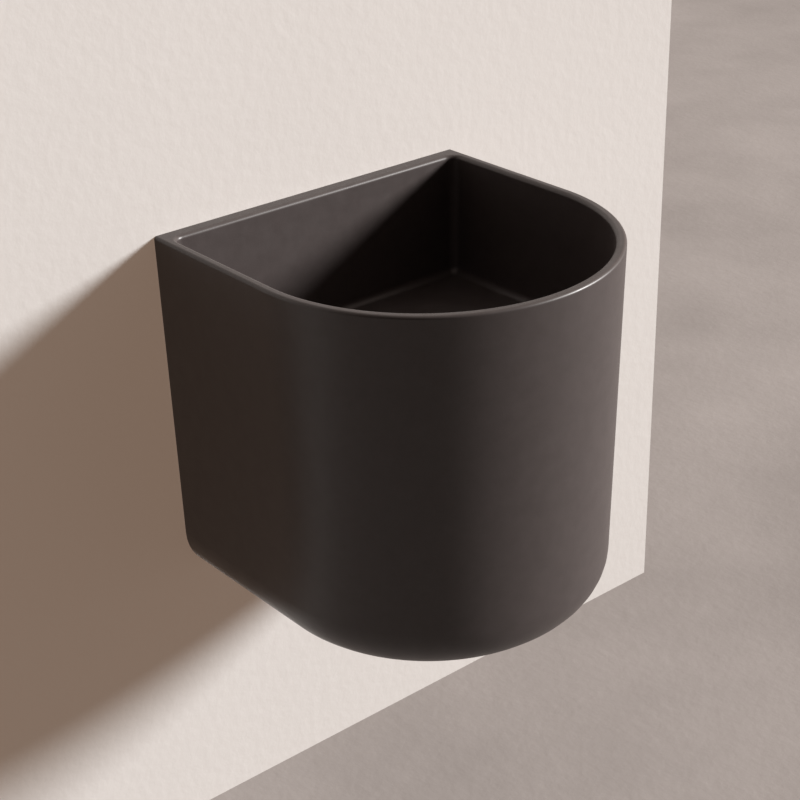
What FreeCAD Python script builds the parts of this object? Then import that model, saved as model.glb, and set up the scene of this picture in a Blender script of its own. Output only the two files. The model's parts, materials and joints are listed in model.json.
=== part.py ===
import FreeCAD, Part
import math
import os
import Sketcher

# A wall hung basin: one deep glazed casting with a D-shaped plan, a bowl with a straight wall all
# round and a skirt that hides the trap. Millimetres. X runs along the wall, +Y into the wall and +Z
# up. The origin is on the wall's face, midway between the two bolts that hold the basin.

Vector = FreeCAD.Vector

SIZES = {
    # The casting. Heights are measured from the fixing bolts.
    "rim_height": 215.0,
    "basin_width": 450.0,
    "projection": 433.0,
    "basin_height": 455.0,
    "draft_angle": 1.2,  # degrees, on the sides and the front
    "base_roll": 65.0,  # the round under the sides and the front
    "rim_outer_round": 3.8,
    "rim_inner_round": 5.0,
    "side_wall": 12.5,
    "back_rim": 18.0,
    "bowl_corner": 14.0,
    "bowl_depth": 158.0,  # from the rim down to the edge of the floor
    "bowl_fall": 8.0,  # from that edge down to the waste
    "bowl_round": 9.5,  # between the walls and the floor
    "floor_thick": 14.0,
    "web_thick": 25.0,
    "web_drop": 45.0,  # the web's lower edge, under the bolts
    "service_width": 280.0,  # the opening in the underside, which runs on up the back
    "window_corner": 30.0,
    "lip_round": 5.0,
    "boss_width": 84.0,
    "boss_drop": 4.0,
    "dish_margin": 32.0,  # how much smaller the dish's radius is than the half width or the front's depth
    "hole_margin": 2.05,  # radial, between the waste's thread and its hole in the casting
    "recess_width": 67.0,
    "recess_depth": 4.0,
    # The fixings, a pair of each.
    "fixing_spacing": 280.0,
    "fixing_hole": 18.0,
    "bolt_width": 10.0,
    "bolt_in_wall": 70.0,
    "bolt_past_nut": 6.0,
    "plug_width": 14.0,
    "plug_length": 75.0,
    "plug_slot": 1.5,
    "bush_width": 17.6,
    "bush_collar": 26.0,
    "collar_thick": 3.0,
    "washer_width": 24.0,
    "washer_thick": 2.0,
    "nut_across": 17.0,
    "nut_thick": 8.4,
    # The waste. Its plug is pressed to shut it and pressed again to open it.
    "thread_width": 41.9,  # one thread serves the waste, the trap's neck and the trap's outlet
    "flat_seal": 2.0,
    "flange_width": 64.0,
    "flange_thick": 3.0,
    "waste_bore": 38.0,
    "waste_length": 75.0,
    "back_nut_rim": 6.05,  # from the thread to the nut's flats
    "back_nut_thick": 12.0,
    "under_seal_width": 62.0,
    "under_seal_thick": 7.0,
    "seal_nose": 4.0,  # the part of the lower seal that centres the waste in its hole
    "hub_width": 18.0,
    "hub_thick": 10.0,
    "hub_drop": 22.0,  # from the flange's underside to the hub
    "arm_thick": 3.0,
    "barrel_width": 12.0,
    "barrel_collar": 16.0,
    "barrel_wall": 1.4,
    "barrel_length": 22.0,
    "guide_length": 3.0,
    "spindle_width": 6.0,
    "foot_thick": 1.8,
    "plug_travel": 9.0,
    "cap_width": 68.0,
    "cap_height": 12.5,
    "cap_round": 4.0,
    "cap_crown": 2.0,  # the rise from the rim's round to the middle
    "carrier_width": 62.0,
    "carrier_thick": 2.5,
    "carrier_boss": 14.0,
    "cap_seal_thick": 2.5,
    "cap_seal_bore": 48.0,
    "spring_wire": 0.9,
    "spring_pitch": 3.6,
    # The bottle trap.
    "tube_width": 32.0,
    "tube_wall": 1.0,
    "tube_collar": 2.5,
    "outlet_drop": 105.0,  # the outlet's axis, under the bolts
    "water_seal": 50.0,
    "union_rim": 3.55,  # from the thread to the nut's flats
    "union_grip": 17.0,  # the length of thread inside a union nut
    "union_end": 4.5,
    "gland_seal": 4.0,
    "trap_width": 62.0,
    "trap_wall": 3.0,
    "neck_length": 16.0,
    "port_reach": 46.0,  # from the trap's axis to the end of its outlet thread
    "port_socket": 13.0,
    "cup_thread": 56.0,
    "cup_grip": 12.0,
    "cup_wall": 2.5,
    "cup_below_tube": 17.0,
    "cup_round": 12.0,
    "flute_width": 3.0,
    "wall_depth": 45.0,  # the outlet pipe's length inside the wall
    "mark_width": 1.5,  # the groove that marks how far the pipe goes in
    "mark_depth": 0.3,
    "rosette_width": 72.0,
    "rosette_depth": 12.0,
    "rosette_sheet": 1.2,
    # Fits.
    "running": 0.05,  # radial, between a sliding or screwed piece and its bore
    "loose": 0.25,  # radial, between a tube and the hole that lets it through
    "stop_gap": 0.3,  # between a moving piece and the place where it stops
}

doc = FreeCAD.newDocument("wall_hung_basin")
sheet = doc.addObject("Spreadsheet::Sheet", "sizes")
for row, (alias, value) in enumerate(SIZES.items(), start=1):
    sheet.set(f"A{row}", alias)
    sheet.set(f"B{row}", str(value))
    sheet.setAlias(f"B{row}", alias)
doc.recompute()


class Size:
    """A length made from the sheet's cells: its value, and the expression that follows the cells."""

    def __init__(self, value, text):
        self.value = value
        self.text = text

    def __add__(self, other):
        other = sized(other)
        return Size(self.value + other.value, f"({self.text} + {other.text})")

    def __sub__(self, other):
        other = sized(other)
        return Size(self.value - other.value, f"({self.text} - {other.text})")

    def __mul__(self, factor):
        return Size(self.value * factor, f"({self.text} * {factor})")

    def __truediv__(self, factor):
        return Size(self.value / factor, f"({self.text} / {factor})")

    def __neg__(self):
        return Size(-self.value, f"(-{self.text})")


def sized(number):
    return number if isinstance(number, Size) else Size(float(number), str(float(number)))


def size(alias):
    return Size(SIZES[alias], f"sizes.{alias}")


def least(first, second):
    return Size(min(first.value, second.value), f"min({first.text}; {second.text})")


def bind(thing, path, length):
    """Sets a property or constraint and ties it to the sheet."""
    thing.setExpression(path, sized(length).text)


def plane_of(body, role):
    return next(item for item in body.Origin.OriginFeatures if item.Role == role)


def new_body(name):
    body = doc.addObject("PartDesign::Body", name)
    body.Label = name
    return body


def new_sketch(body, name, role, lift=None, aside=None):
    """A sketch on one of the body's own planes, lifted off it or moved aside where that is asked."""
    sketch = body.newObject("Sketcher::SketchObject", f"{body.Name}_{name}")
    sketch.AttachmentSupport = [(plane_of(body, role), "")]
    sketch.MapMode = "FlatFace"
    if lift is not None:
        bind(sketch, "AttachmentOffset.Base.z", lift)
    if aside is not None:
        bind(sketch, "AttachmentOffset.Base.x", aside)
    return sketch


def hold(sketch, kind, place, length):
    """Fixes one measure of the sketch at a size that follows the sheet."""
    length = sized(length)
    row = sketch.addConstraint(Sketcher.Constraint(kind, *place, length.value))
    sketch.setExpression(f"Constraints[{row}]", length.text)


def outline(sketch, corners, first=0, bows=None):
    """A closed outline. Each corner is an (across, up) pair of sizes, taken anticlockwise.

    `bows` gives the radius of each side that bows outwards, by the side's first corner.
    """
    bows = bows or {}
    points = [Vector(sized(across).value, sized(up).value, 0) for across, up in corners]
    count = len(points)
    for index, point in enumerate(points):
        following = points[(index + 1) % count]
        side = Part.LineSegment(point, following)
        if index in bows:
            side = bowed(point, following, bows[index].value)
        sketch.addGeometry(side, False)
    for index, (across, up) in enumerate(corners):
        following = first + (index + 1) % count
        sketch.addConstraint(Sketcher.Constraint("Coincident", first + index, 2, following, 1))
        hold(sketch, "DistanceX", (first + index, 1), across)
        hold(sketch, "DistanceY", (first + index, 1), up)
        if index in bows:
            hold(sketch, "Radius", (first + index,), bows[index])
    return sketch


def bowed(start, end, radius):
    """An arc from start to end, anticlockwise, less than half a circle."""
    chord = end - start
    rise = math.sqrt(radius**2 - (chord.Length / 2) ** 2)
    centre = (start + end) / 2 + Vector(-chord.y, chord.x, 0) * (rise / chord.Length)
    angles = [math.atan2(point.y - centre.y, point.x - centre.x) for point in (start, end)]
    return Part.ArcOfCircle(Part.Circle(centre, Vector(0, 0, 1), radius), *angles)


def rectangle(sketch, left, right, low, high):
    return outline(sketch, [(left, low), (right, low), (right, high), (left, high)])


def circle(sketch, across, up, radius):
    """A circle; a sketch's circles are drawn before its outline."""
    ring = Part.Circle(Vector(sized(across).value, sized(up).value, 0), Vector(0, 0, 1), radius.value)
    index = sketch.addGeometry(ring, False)
    hold(sketch, "DistanceX", (index, 3), across)
    hold(sketch, "DistanceY", (index, 3), up)
    hold(sketch, "Radius", (index,), radius)
    return sketch


def dee(sketch, half, side, back, corner=None):
    """A D-shaped outline: straight back, two straight sides and a half-round front.

    The front's centre lies at the depth `side` in front of the wall; `back` is the straight edge's
    distance in front of the wall, and `corner` rounds the two places where it meets the sides.
    """
    deep = -side.value
    rear = -back.value
    turn = corner.value if corner else 0.0
    reach = half.value
    centre = Vector(0, deep, 0)
    sketch.addGeometry(Part.LineSegment(Vector(reach, deep, 0), Vector(reach, rear - turn, 0)), False)
    sketch.addGeometry(Part.LineSegment(Vector(reach - turn, rear, 0), Vector(turn - reach, rear, 0)), False)
    sketch.addGeometry(Part.LineSegment(Vector(-reach, rear - turn, 0), Vector(-reach, deep, 0)), False)
    front = Part.Circle(centre, Vector(0, 0, 1), reach)
    sketch.addGeometry(Part.ArcOfCircle(front, math.pi, 2 * math.pi), False)
    sketch.addConstraint(Sketcher.Constraint("Vertical", 0))
    sketch.addConstraint(Sketcher.Constraint("Horizontal", 1))
    sketch.addConstraint(Sketcher.Constraint("Vertical", 2))
    sketch.addConstraint(Sketcher.Constraint("Tangent", 2, 2, 3, 1))
    sketch.addConstraint(Sketcher.Constraint("Tangent", 3, 2, 0, 1))
    sketch.addConstraint(Sketcher.Constraint("PointOnObject", 3, 3, -2))
    hold(sketch, "DistanceY", (3, 3), -side)
    hold(sketch, "Radius", (3,), half)
    hold(sketch, "DistanceY", (1, 1), -back)
    if corner is None:
        sketch.addConstraint(Sketcher.Constraint("Coincident", 0, 2, 1, 1))
        sketch.addConstraint(Sketcher.Constraint("Coincident", 1, 2, 2, 1))
        return sketch
    right = Part.Circle(Vector(reach - turn, rear - turn, 0), Vector(0, 0, 1), turn)
    left = Part.Circle(Vector(turn - reach, rear - turn, 0), Vector(0, 0, 1), turn)
    sketch.addGeometry(Part.ArcOfCircle(right, 0, math.pi / 2), False)
    sketch.addGeometry(Part.ArcOfCircle(left, math.pi / 2, math.pi), False)
    sketch.addConstraint(Sketcher.Constraint("Tangent", 0, 2, 4, 1))
    sketch.addConstraint(Sketcher.Constraint("Tangent", 4, 2, 1, 1))
    sketch.addConstraint(Sketcher.Constraint("Tangent", 1, 2, 5, 1))
    sketch.addConstraint(Sketcher.Constraint("Tangent", 5, 2, 2, 1))
    hold(sketch, "Radius", (4,), corner)
    hold(sketch, "Radius", (5,), corner)
    return sketch


def pad(body, sketch, length, back=False, taper=None):
    """Raises the sketch by a length, against its normal where `back` is set."""
    feature = body.newObject("PartDesign::Pad", f"{sketch.Name}_pad")
    feature.Profile = sketch
    feature.Reversed = back
    bind(feature, "Length", length)
    if taper is not None:
        bind(feature, "TaperAngle", taper)
    return feature


def pocket(body, sketch, length, back=False):
    """Cuts the sketch away over a length, along its normal where `back` is set."""
    before = body.Shape.Volume
    feature = body.newObject("PartDesign::Pocket", f"{sketch.Name}_pocket")
    feature.Profile = sketch
    feature.Reversed = back
    bind(feature, "Length", length)
    doc.recompute()
    if not feature.Shape.Volume < before:
        raise RuntimeError(f"{feature.Name} cuts nothing")
    return feature


def turn(body, sketch, groove=False):
    """Turns the sketch once about its own vertical axis, as new material or as a cut."""
    before = body.Shape.Volume if groove else 0.0
    kind = "Groove" if groove else "Revolution"
    feature = body.newObject(f"PartDesign::{kind}", f"{sketch.Name}_turned")
    feature.Profile = sketch
    feature.ReferenceAxis = (sketch, ["V_Axis"])
    feature.Angle = 360
    doc.recompute()
    if groove and not feature.Shape.Volume < before:
        raise RuntimeError(f"{feature.Name} cuts nothing")
    return feature


def edges_where(shape, test):
    return [f"Edge{index}" for index, edge in enumerate(shape.Edges, start=1) if test(edge)]


def rounded(body, name, radius, test):
    """Rounds every edge of the body that passes the test."""
    doc.recompute()
    base = body.Tip
    names = edges_where(base.Shape, test)
    if not names:
        raise RuntimeError(f"{name} finds no edge")
    feature = body.newObject("PartDesign::Fillet", f"{body.Name}_{name}")
    feature.Base = (base, names)
    bind(feature, "Radius", radius)
    doc.recompute()
    return feature


def ring_edge(radius, height):
    """A test for the round edge of that radius at that height on the body's axis."""

    def test(edge):
        if edge.Degenerated or not isinstance(edge.Curve, Part.Circle):
            return False
        curve = edge.Curve
        return abs(curve.Radius - radius.value) < 1e-4 and abs(curve.Center.z - height.value) < 1e-4

    return test


def turned(name, corners, bows=None, aside=None):
    """A body of revolution. Each corner is a (radius, height) pair on one side of its axis."""
    body = new_body(name)
    sketch = new_sketch(body, "profile", "XZ_Plane", aside=aside)
    turn(body, outline(sketch, corners, bows=bows))
    return body


def flats(body, across, aside=None):
    """Cuts a turned body to a hexagon, seen along its axis."""
    sketch = new_sketch(body, "hexagon", "XY_Plane", -sized(500), aside)
    circle(sketch, 0, 0, across)
    corner = across / math.sqrt(3)
    places = []
    for step in range(6):
        angle = math.radians(60 * step + 30)
        places.append((corner * math.cos(angle), corner * math.sin(angle)))
    outline(sketch, places, first=1)
    return pocket(body, sketch, sized(1000), back=True)


def pair(body):
    """Adds the same piece on the other side of the basin."""
    body.AllowCompound = True
    mirror = body.newObject("PartDesign::Mirrored", f"{body.Name}_pair")
    mirror.TransformMode = "Whole shape"
    mirror.MirrorPlane = (plane_of(body, "YZ_Plane"), [""])
    body.Tip = mirror
    doc.recompute()


# Places that more than one piece works from.
rim = size("rim_height")
base = rim - size("basin_height")
half_width = size("basin_width") / 2
side_depth = size("projection") - half_width
inner_half = half_width - size("side_wall")
floor_centre = rim - size("bowl_depth") - size("bowl_fall")
underside = floor_centre - size("floor_thick")
boss_face = underside - size("boss_drop")
recess_face = floor_centre - size("recess_depth")
thread_radius = size("thread_width") / 2
nut_bore = thread_radius + size("running")
waste_hole = thread_radius + size("hole_margin")
tube_radius = size("tube_width") / 2
tube_hole = tube_radius + size("loose")
dish_radius = least(side_depth, inner_half) - size("dish_margin")
waste_place = -side_depth
overrun = size("web_thick") * 2  # how far the casting's plan is drawn past the wall before it is cut


def stand_on_waste_axis(body):
    bind(body, "Placement.Base.y", waste_place)
    return body


def lie_on_outlet_axis(body):
    """Turns a body's own Z axis to +Y and lifts it to the outlet; its heights are then frame Y."""
    body.Placement = FreeCAD.Placement(Vector(0, 0, 0), FreeCAD.Rotation(Vector(1, 0, 0), -90))
    bind(body, "Placement.Base.z", -size("outlet_drop"))
    return body


def drafted(name, half, back, floor, corner):
    """A D-shaped solid from the rim down to the height `floor`, narrower towards its foot."""
    body = new_body(name)
    plan = dee(new_sketch(body, "plan", "XY_Plane", rim), half, side_depth, back, corner)
    pad(body, plan, rim - floor, back=True, taper=-size("draft_angle"))
    doc.recompute()
    return body


def cut_box(body, name, left, right, low, high, top, depth):
    """Cuts a rectangle of the plan away, from the height `top` down."""
    sketch = new_sketch(body, name, "XY_Plane", top)
    rectangle(sketch, left, right, low, high)
    return pocket(body, sketch, depth)


def cut_behind(body, place):
    """Cuts all that lies behind a plane parallel to the wall."""
    wide = size("basin_width")
    return cut_box(body, "behind", -wide, wide, place, wide, rim, size("basin_height"))


def foot_edges(floor, back):
    """A test for the edges round the foot of a D-shaped solid, without the straight back one."""

    def test(edge):
        box = edge.BoundBox
        return box.ZMax < floor.value + 0.01 and box.YMin < back.value - 1

    return test


def bowl_hollow():
    """The space inside the bowl, rounded where the walls meet the floor."""
    floor = rim - size("bowl_depth")
    body = drafted("bowl_hollow", inner_half, size("back_rim"), floor, size("bowl_corner"))
    rounded(body, "floor_round", size("bowl_round"), foot_edges(floor, sized(0)))
    return body


def apron_hollow():
    """The space under the bowl: it keeps the wall's thickness round the base roll."""
    wall = size("side_wall")
    floor = base + wall
    ceiling = underside + size("bowl_fall")
    back = -size("web_thick")
    body = drafted("apron_hollow", inner_half, -overrun, floor, overrun / 2)
    cut_behind(body, back)
    rounded(body, "foot_round", size("base_roll") - wall, foot_edges(floor, back))

    def on_back(edge):
        return edge.BoundBox.YMin > back.value - 0.01 and edge.BoundBox.ZMin < rim.value - 1

    rounded(body, "back_round", size("bowl_corner"), on_back)
    wide = size("basin_width")
    cut_box(body, "above", -wide, wide, -size("projection"), wide, rim, rim - ceiling)

    def on_ceiling(edge):
        return edge.BoundBox.ZMin > ceiling.value - 0.01

    rounded(body, "ceiling_round", size("bowl_round"), on_ceiling)
    return body


def waste_dish():
    """The hollow in the bowl's floor: a shallow dish, the flange's recess and the hole."""
    recess = size("recess_width") / 2
    edge = floor_centre + size("bowl_fall")
    return [
        (0, boss_face - 5),
        (waste_hole, boss_face - 5),
        (waste_hole, recess_face),
        (recess, recess_face),
        (recess, floor_centre),
        (dish_radius, edge),
        (dish_radius, edge + 5),
        (0, edge + 5),
    ]


def belly():
    """The thickness under the dish, with the flat boss that the back nut draws its seal against."""
    boss = size("boss_width") / 2
    edge = underside + size("bowl_fall")
    inside = edge + size("floor_thick") / 2
    corners = [(0, boss_face), (boss, boss_face), (boss, underside), (dish_radius, edge)]
    return corners + [(dish_radius, inside), (0, inside)]


def hollow_out(body, form):
    """Cuts the whole of another body, which lies inside this one, away."""
    left = body.Shape.Volume - form.Shape.Volume
    cut = body.newObject("PartDesign::Boolean", f"{body.Name}_{form.Name}")
    cut.Type = "Cut"
    cut.Group = [form]
    doc.recompute()
    if abs(cut.Shape.Volume - left) > 1e-3 * left:
        raise RuntimeError(f"{form.Name} isn't cut as a whole")


def basin():
    body = drafted("basin", half_width, -overrun, base, overrun / 2)
    cut_behind(body, sized(0))
    rounded(body, "base_roll", size("base_roll"), foot_edges(base, sized(0)))
    hollow_out(body, bowl_hollow())
    hollow_out(body, apron_hollow())
    turn(body, outline(new_sketch(body, "belly", "XZ_Plane", side_depth), belly()))
    dish = outline(new_sketch(body, "dish", "XZ_Plane", side_depth), waste_dish())
    turn(body, dish, groove=True)
    back_window(body)
    service_opening(body)
    fixing_holes(body)
    round_casting(body)
    return body


def back_window(body):
    """The opening in the back, below the web, with two rounded upper corners."""
    half = size("service_width") / 2
    top = -size("web_drop")
    sketch = new_sketch(body, "window", "XZ_Plane", -sized(1))
    rectangle(sketch, -half, half, base - 5, top)
    pocket(body, sketch, size("web_thick") + 1, back=True)

    def upper(edge):
        box = edge.BoundBox
        at_corner = abs(box.ZMin - top.value) < 0.01 and box.XLength < 0.01
        return at_corner and box.ZLength < 0.01 and abs(abs(box.XMin) - half.value) < 0.01

    rounded(body, "window_corners", size("window_corner"), upper)


def service_opening(body):
    """The D-shaped opening in the underside, which runs out through the window at the back."""
    half = size("service_width") / 2
    top = base + size("base_roll")
    sketch = dee(new_sketch(body, "service", "XY_Plane", top), half, side_depth, -sized(5))
    pocket(body, sketch, size("base_roll") * 2)


def fixing_holes(body):
    sketch = new_sketch(body, "fixing", "XZ_Plane", -sized(1))
    for side in (-1, 1):
        circle(sketch, size("fixing_spacing") / 2 * side, 0, size("fixing_hole") / 2)
    pocket(body, sketch, size("web_thick") + 10, back=True)


def rim_edges(width, back):
    """A test for the edges of the rim's outline that end at that half width, in front of `back`."""

    def test(edge):
        ends = [vertex.Point for vertex in edge.Vertexes]
        on_rim = min(end.z for end in ends) > rim.value - 0.01
        at_side = any(abs(abs(end.x) - width.value) < 0.01 for end in ends)
        return on_rim and at_side and min(end.y for end in ends) < back - 1

    return test


def round_casting(body):
    """The small rounds that a glazed casting has on every edge but those against the wall."""
    rounded(body, "rim_outer", size("rim_outer_round"), rim_edges(half_width, 0))
    rounded(body, "rim_inner", size("rim_inner_round"), rim_edges(inner_half, -size("back_rim").value))
    reach = size("service_width").value / 2

    def lip(edge):
        box = edge.BoundBox
        flat = box.ZLength < 0.01 and box.ZMax < (base + size("side_wall")).value + 0.01
        side = abs(max(box.XMax, -box.XMin) - reach) < 0.01 and box.YLength > 1
        return flat and side

    rounded(body, "lip", size("lip_round"), lip)


def fixing(name, corners, across=None):
    """One of a pair of turned fixings, lying along +Y: its heights are frame Y."""
    aside = size("fixing_spacing") / 2
    body = turned(name, corners, aside=aside)
    if across is not None:
        flats(body, across, aside)
    pair(body)
    body.Placement = FreeCAD.Placement(Vector(0, 0, 0), FreeCAD.Rotation(Vector(1, 0, 0), -90))
    return body


bush_face = -size("web_thick") - size("collar_thick")
washer_face = bush_face - size("washer_thick")
nut_face = washer_face - size("nut_thick")
bolt_radius = size("bolt_width") / 2
bolt_hole = bolt_radius + size("running")


def hanger_bolts():
    """Screw thread in the wall, machine thread in the room; the two ends are tapered."""
    tip = size("bolt_in_wall")
    end = nut_face - size("bolt_past_nut")
    point = bolt_radius / 4
    corners = [(0, end), (bolt_radius - 1, end), (bolt_radius, end + 1)]
    corners += [(bolt_radius, tip - 10), (point, tip), (0, tip)]
    fixing("hanger_bolts", corners)


def wall_plugs():
    """Closed at the tip and slit along two sides, so that the screw spreads them."""
    outer = size("plug_width") / 2
    tip = size("plug_length")
    floor = size("bolt_in_wall") + 1
    corners = [(bolt_hole, 0), (outer, 0), (outer, tip - 7), (outer - 1.5, tip), (0, tip), (0, floor)]
    corners += [(bolt_hole, floor)]
    aside = size("fixing_spacing") / 2
    body = turned("wall_plugs", corners, aside=aside)
    slot = new_sketch(body, "slot", "XZ_Plane", -outer * 2, aside)
    half = size("plug_slot") / 2
    rectangle(slot, -half, half, tip / 4, tip - 10)
    pocket(body, slot, outer * 4, back=True)
    pair(body)
    body.Placement = FreeCAD.Placement(Vector(0, 0, 0), FreeCAD.Rotation(Vector(1, 0, 0), -90))


def fixing_bushes():
    """Plastic sleeves that keep the steel off the glaze."""
    bore = bolt_hole + size("loose")
    sleeve = size("bush_width") / 2
    collar = size("bush_collar") / 2
    inner = -size("web_thick")
    corners = [(bore, bush_face), (collar, bush_face), (collar, inner), (sleeve, inner)]
    corners += [(sleeve, -sized(3)), (bore, -sized(3))]
    fixing("fixing_bushes", corners)


def fixing_washers():
    bore = bolt_hole + size("loose")
    outer = size("washer_width") / 2
    corners = [(bore, washer_face), (outer, washer_face), (outer, bush_face), (bore, bush_face)]
    fixing("fixing_washers", corners)


def chamfered(bore, outer, low, high, cut):
    """The section of a nut: a straight bore and an outside that is turned down at both ends."""
    slope = cut / 2
    return [
        (bore, low),
        (outer - cut, low),
        (outer, low + slope),
        (outer, high - slope),
        (outer - cut, high),
        (bore, high),
    ]


def fixing_nuts():
    across = size("nut_across")
    corners = chamfered(bolt_hole, across / math.sqrt(3), nut_face, washer_face, sized(1.2))
    fixing("fixing_nuts", corners, across)


# Heights down the waste's axis.
flange_face = recess_face + size("flat_seal")
flange_top = flange_face + size("flange_thick")
waste_end = flange_face - size("waste_length")
slip_face = boss_face - size("under_seal_thick")
back_nut_top = slip_face - size("flat_seal")
hub_top = flange_face - size("hub_drop")
barrel_top = hub_top + 4
cavity_top = barrel_top - size("guide_length")
cavity_floor = barrel_top - size("barrel_length") + size("barrel_wall")
foot_face = cavity_top - size("foot_thick")
seal_rest = flange_top + size("stop_gap") + size("plug_travel")
carrier_face = seal_rest + size("cap_seal_thick")
carrier_top = carrier_face + size("carrier_thick")
collar_top = waste_end - size("flat_seal")
collar_face = collar_top - size("tube_collar")
trap_top = -size("outlet_drop") + thread_radius + 2
trap_foot = -size("outlet_drop") - thread_radius - 2
neck_top = trap_top + size("neck_length")
gland_top = neck_top + size("gland_seal")
cup_top = trap_foot - size("flat_seal")
tube_end = -size("outlet_drop") - tube_radius + size("tube_wall") - size("water_seal")
cup_floor = tube_end - size("cup_below_tube")
seal_bore = tube_radius + 0.02


def on_waste(name, corners, bows=None):
    return stand_on_waste_axis(turned(name, corners, bows))


def ring(name, bore, outer, low, high):
    return on_waste(name, [(bore, low), (outer, low), (outer, high), (bore, high)])


def waste_body():
    """A flange with a funnel, a threaded tube and a hub on four arms that carries the latch."""
    bore = size("waste_bore") / 2
    flange = size("flange_width") / 2
    corners = [(bore, waste_end), (thread_radius, waste_end), (thread_radius, flange_face)]
    corners += [(flange, flange_face), (flange, flange_top - 1.4), (flange - 3, flange_top)]
    corners += [(bore + 5.5, flange_top), (bore, flange_top - 4)]
    body = turned("waste_body", corners)
    thick = size("hub_thick")
    half = size("arm_thick") / 2
    reach = bore + 0.5
    for name, wide, deep in (("arms_along", reach, half), ("arms_across", half, reach)):
        sketch = new_sketch(body, name, "XY_Plane", hub_top)
        rectangle(sketch, -wide, wide, -deep, deep)
        pad(body, sketch, thick, back=True)
    hub = circle(new_sketch(body, "hub", "XY_Plane", hub_top), 0, 0, size("hub_width") / 2)
    pad(body, hub, thick, back=True)
    hole = size("barrel_width") / 2 + size("running")
    seat = circle(new_sketch(body, "seat", "XY_Plane", hub_top), 0, 0, hole)
    doc.recompute()
    pocket(body, seat, thick)
    stand_on_waste_axis(body)


def waste_seals():
    bore = thread_radius + 0.15
    ring("flange_seal", bore, size("flange_width") / 2 - 1, recess_face, flange_face)
    outer = size("under_seal_width") / 2
    nose = waste_hole - 0.2
    nose_top = boss_face + size("seal_nose")
    corners = [(bore, slip_face), (outer - 3, slip_face), (outer, boss_face - 3), (outer, boss_face)]
    corners += [(nose, boss_face), (nose - 0.8, nose_top), (bore, nose_top)]
    on_waste("under_seal", corners)
    ring("slip_washer", bore, outer, back_nut_top, slip_face)


def back_nut():
    across = (thread_radius + size("back_nut_rim")) * 2
    low = back_nut_top - size("back_nut_thick")
    body = on_waste("back_nut", chamfered(nut_bore, across / math.sqrt(3), low, back_nut_top, sized(4)))
    flats(body, across)


def latch_barrel():
    """The housing of the latch. A collar rests on the hub and guides the spindle."""
    outer = size("barrel_width") / 2
    cavity = outer - size("barrel_wall")
    guide = size("spindle_width") / 2 + size("running")
    low = cavity_floor - size("barrel_wall")
    collar = size("barrel_collar") / 2
    corners = [(0, low), (outer, low), (outer, hub_top), (collar, hub_top), (collar, barrel_top)]
    corners += [(guide, barrel_top), (guide, cavity_top), (cavity, cavity_top), (cavity, cavity_floor)]
    on_waste("latch_barrel", corners + [(0, cavity_floor)])


def plug_spring():
    """The spring that lifts the plug, at its length with the waste open."""
    body = new_body("plug_spring")
    wire = size("spring_wire")
    outer = size("barrel_width") / 2 - size("barrel_wall") - 0.3
    section = rectangle(
        new_sketch(body, "wire", "XZ_Plane"), outer - wire, outer, cavity_floor, cavity_floor + wire
    )
    coil = body.newObject("PartDesign::AdditiveHelix", "plug_spring_coil")
    coil.Profile = section
    coil.ReferenceAxis = (section, ["V_Axis"])
    coil.Mode = "pitch-height-angle"
    bind(coil, "Pitch", size("spring_pitch"))
    bind(coil, "Height", foot_face - cavity_floor - wire)
    stand_on_waste_axis(body)


def plug_spindle():
    """The rod that the latch holds: its foot stops it under the guide."""
    radius = size("spindle_width") / 2
    foot = size("barrel_width") / 2 - size("barrel_wall") - 0.2
    tail = foot_face - 4
    corners = [(0, tail), (1.8, tail), (1.8, foot_face), (foot, foot_face), (foot, cavity_top)]
    corners += [(radius, cavity_top), (radius, carrier_top - 1), (0, carrier_top - 1)]
    on_waste("plug_spindle", corners)


def cap_carrier():
    """The disc under the cap, screwed on the spindle."""
    bore = size("spindle_width") / 2 + 0.02
    boss = size("carrier_boss") / 2
    outer = size("carrier_width") / 2
    low = carrier_face - 8
    corners = [(bore, low), (boss, low), (boss, carrier_face), (outer, carrier_face), (outer, carrier_top)]
    on_waste("cap_carrier", corners + [(0, carrier_top), (0, carrier_top - 1), (bore, carrier_top - 1)])


def plug_cap():
    """The glazed cap: a low crown with a rounded rim, hollow below for the carrier."""
    outer = size("cap_width") / 2
    recess = size("carrier_width") / 2 + 0.2
    low = seal_rest + 1.2
    high = low + size("cap_height")
    turn_in = size("cap_round")
    edge = high - size("cap_crown")
    corners = [(0, carrier_top), (recess, carrier_top), (recess, low), (outer, low)]
    corners += [(outer, edge - turn_in), (outer - turn_in, edge), (0, high)]
    on_waste("plug_cap", corners, bows={4: turn_in})


def cap_seal():
    ring("cap_seal", size("cap_seal_bore") / 2, size("carrier_width") / 2 - 0.1, seal_rest, carrier_face)


def union_nut(name, mouth, shoulder, end):
    """A nut that draws a collar or a seal to the end of a thread; `mouth` is its open end."""
    across = (thread_radius + size("union_rim")) * 2
    outer = across / math.sqrt(3)
    cut = sized(2.4)
    sign = 1 if end.value > mouth.value else -1
    slope = cut / 2 * sign
    corners = [(nut_bore, mouth), (outer - cut, mouth), (outer, mouth + slope), (outer, end - slope)]
    corners += [(outer - cut, end), (tube_hole, end), (tube_hole, shoulder), (nut_bore, shoulder)]
    body = turned(name, corners)
    flats(body, across)
    return body


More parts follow.
